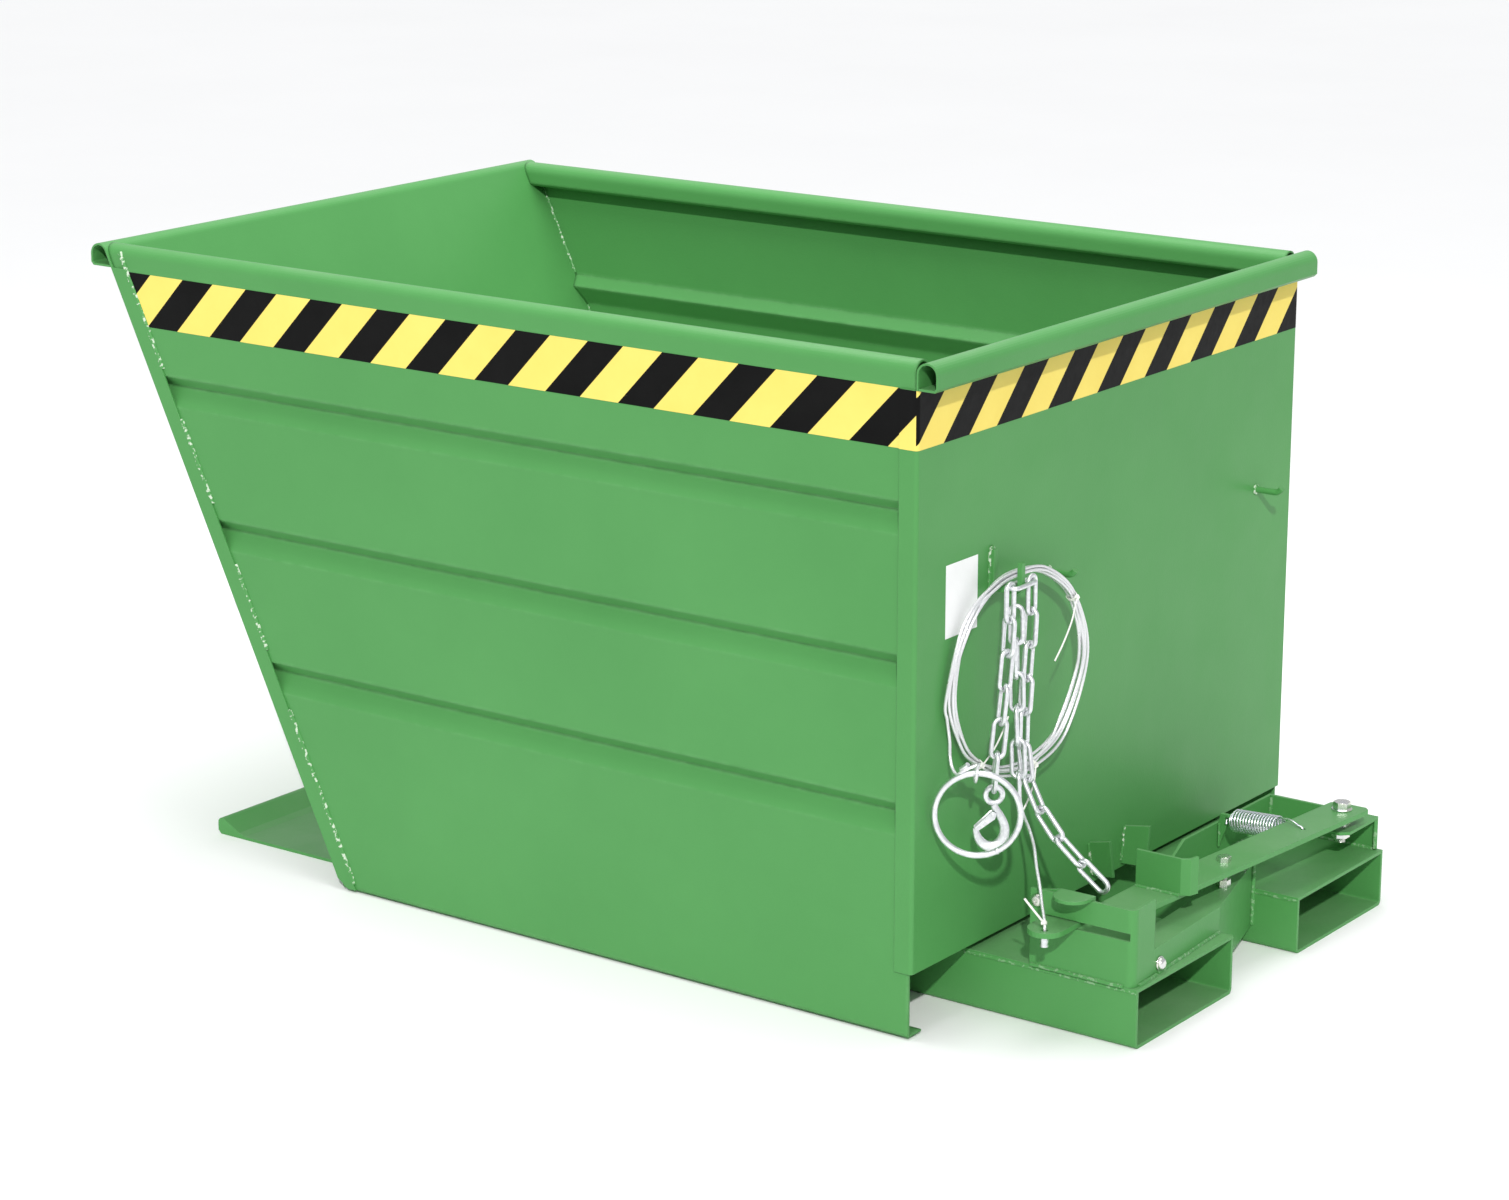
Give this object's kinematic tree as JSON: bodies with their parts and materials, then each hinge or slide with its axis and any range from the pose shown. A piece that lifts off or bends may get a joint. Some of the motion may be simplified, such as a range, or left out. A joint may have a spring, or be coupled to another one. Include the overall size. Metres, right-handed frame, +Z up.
{
  "type": "forklift tipping skip",
  "caption": "Sheet steel tipping skip on a base with fork pockets; a sprung latch lever with a pull cable holds the bin, which tips forward to empty.",
  "frame": {"origin": "centre of the object's box on the ground, under the bin", "axes": "+Z up, +X towards the end where the forks enter, +Y to the latch lever's pivot side"},
  "size_m": [1.854, 1.0766, 0.985],
  "materials": {
    "green_paint": "semi-gloss powder coat",
    "zinc_bolts": "bright zinc plate",
    "bright_spring": "bright zinc plate",
    "axle_steel": "greased steel",
    "bush_bronze": "turned bronze",
    "galvanised": "galvanised",
    "wire_rope": "clear-sheathed wire rope",
    "tie_plastic": "natural nylon",
    "hazard_tape": "yellow and black striped film",
    "label_film": "blank white film"
  },
  "bodies": {
    "base": {"ground_plate": "green_paint", "fork_channel_left": "green_paint", "fork_channel_right": "green_paint", "fork_top_left": "green_paint", "fork_top_right": "green_paint", "rest_pads": "green_paint", "pivot_lugs": "green_paint", "pivot_bushes": "bush_bronze", "near_bracket": "green_paint", "cross_member": "green_paint", "far_upstand": "green_paint", "rear_web": "green_paint", "spring_anchor": "green_paint", "bracket_screws": "zinc_bolts", "member_bolt": "zinc_bolts", "lever_pivot_bolt": "zinc_bolts", "lever_pivot_nut": "zinc_bolts", "latch_spring": "bright_spring", "pawl_bolt": "zinc_bolts"},
    "latch_lever": {"latch_lever": "green_paint", "lever_tab": "green_paint", "glide_bolt": "zinc_bolts", "cable_ferrule": "galvanised"},
    "safety_pawl": {"safety_pawl": "green_paint"},
    "bin": {"side_wall_left": "green_paint", "side_wall_right": "green_paint", "rear_wall": "green_paint", "front_wall": "green_paint", "floor_sheet": "green_paint", "floor_channels": "green_paint", "pivot_hangers": "green_paint", "pivot_axle": "axle_steel", "axle_washers": "zinc_bolts", "split_pins": "zinc_bolts", "catch_lugs": "green_paint", "rope_hook": "green_paint", "bar_hooks": "green_paint", "hazard_tape_left": "hazard_tape", "hazard_tape_right": "hazard_tape", "hazard_tape_rear": "hazard_tape", "blank_label": "label_film", "safety_chain": "galvanised", "sling_hook": "galvanised", "gate_pin": "galvanised", "cable_coil": "wire_rope", "lever_cable": "wire_rope", "ring_cable": "wire_rope", "pull_ring": "galvanised", "cable_ties": "tie_plastic"},
    "hook_gate": {"hook_gate": "galvanised"}
  },
  "joints": [
    {"name": "bin_tip", "type": "hinge", "parent": "base", "child": "bin", "pos_m": [-0.412, 0, 0.06], "axis": [0, -1, 0], "range_deg": [0, 62]},
    {"name": "latch_release", "type": "hinge", "parent": "base", "child": "latch_lever", "pos_m": [0.891, 0.3, 0.165], "axis": [0, 0, 1], "range_deg": [0, 4], "stiffness_Nm_per_rad": 30, "springref_deg": -20.05, "deforming": ["latch_spring"]},
    {"name": "pawl_lift", "type": "hinge", "parent": "base", "child": "safety_pawl", "pos_m": [0.76, -0.374, 0.19], "axis": [0, -1, 0], "range_deg": [0, 40]},
    {"name": "gate_open", "type": "hinge", "parent": "bin", "child": "hook_gate", "pos_m": [0.70523, -0.41037, 0.31652], "axis": [0.6428, -0.766, 0], "range_deg": [0, 30], "stiffness_Nm_per_rad": 0.05, "springref_deg": -17.19}
  ]
}
